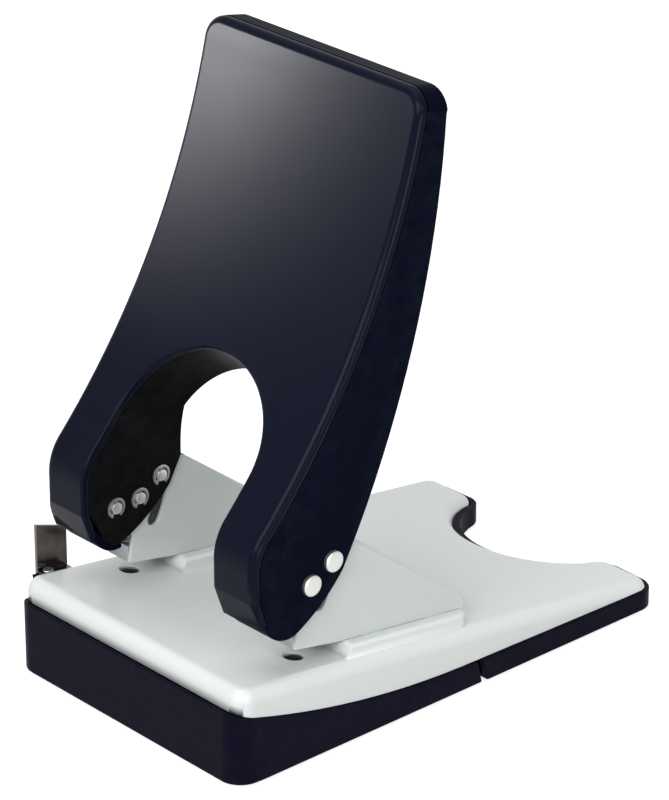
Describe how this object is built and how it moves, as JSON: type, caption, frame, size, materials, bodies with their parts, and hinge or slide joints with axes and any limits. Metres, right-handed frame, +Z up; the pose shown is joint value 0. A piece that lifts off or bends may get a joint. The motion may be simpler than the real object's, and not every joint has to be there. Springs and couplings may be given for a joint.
{
  "type": "two-hole lever punch",
  "caption": "Heavy-duty two-hole desk punch: a tall arched lever handle drives two punches through a sloping paper table with a chip tray and side guide.",
  "frame": {"origin": "centre of the base's footprint, on the surface that the feet stand on", "axes": "+X to the user's right, +Y from the paper side towards the back, +Z up"},
  "size_m": [0.1156, 0.1858, 0.2069],
  "materials": {
    "handle_navy": "fine satin grain",
    "black_steel": "satin black paint",
    "zinc": "bright zinc plate",
    "pale_plastic": "smooth semi-gloss",
    "dark_plastic": "matte",
    "rubber": "matte",
    "plate_steel": "plain rolled",
    "guide_steel": "smoky, polished",
    "frame_paint": "satin pale grey-green",
    "tool_steel": "ground"
  },
  "bodies": {
    "base": {"rear_base": "dark_plastic", "base_feet": "rubber", "base_screws": "zinc", "cover_screws": "zinc", "base_plate": "plate_steel", "base_cover": "pale_plastic", "die_right": "tool_steel", "die_left": "tool_steel", "frame_right": "frame_paint", "frame_left": "frame_paint", "punch_guide_right": "plate_steel", "punch_guide_left": "plate_steel", "guide_track": "dark_plastic"},
    "handle": {"handle_cover": "handle_navy", "handle_shell": "handle_navy", "handle_frame": "black_steel", "handle_screws": "zinc", "e_rings": "zinc", "pivot_pin_right": "zinc", "pivot_pin_left": "zinc", "drive_pin_right": "zinc", "drive_pin_left": "zinc", "stop_pin_right": "zinc", "stop_pin_left": "zinc"},
    "right_punch": {"punch_right": "tool_steel", "spring_right": "zinc"},
    "left_punch": {"punch_left": "tool_steel", "spring_left": "zinc"},
    "tray": {"chip_tray": "dark_plastic", "tray_feet": "rubber"},
    "guide": {"guide_bar": "guide_steel", "guide_knob": "dark_plastic", "guide_rivet": "zinc"}
  },
  "joints": [
    {"name": "handle_hinge", "type": "hinge", "parent": "base", "child": "handle", "pos_m": [0, -0.0684, 0.0579], "axis": [-1, 0, 0], "range_deg": [0, 48], "stiffness_Nm_per_rad": 0.5, "springref_deg": -34.38},
    {"name": "right_punch_slide", "type": "slide", "parent": "base", "child": "right_punch", "axis": [0, 0, -1], "range_m": [0, 0.0075], "stiffness_N_per_m": 40, "springref_m": -0.004, "deforming": ["spring_right"]},
    {"name": "left_punch_slide", "type": "slide", "parent": "base", "child": "left_punch", "axis": [0, 0, -1], "range_m": [0, 0.0075], "stiffness_N_per_m": 40, "springref_m": -0.004, "deforming": ["spring_left"]},
    {"name": "tray_slide", "type": "slide", "parent": "base", "child": "tray", "axis": [0, -1, 0], "range_m": [0, 0.095]},
    {"name": "guide_slide", "type": "slide", "parent": "base", "child": "guide", "axis": [-1, 0, 0], "range_m": [0, 0.085]}
  ],
  "couplings": [
    {"joint": "right_punch_slide", "follows": "handle_hinge", "m_per_rad": 0.00885},
    {"joint": "left_punch_slide", "follows": "handle_hinge", "m_per_rad": 0.00885}
  ]
}
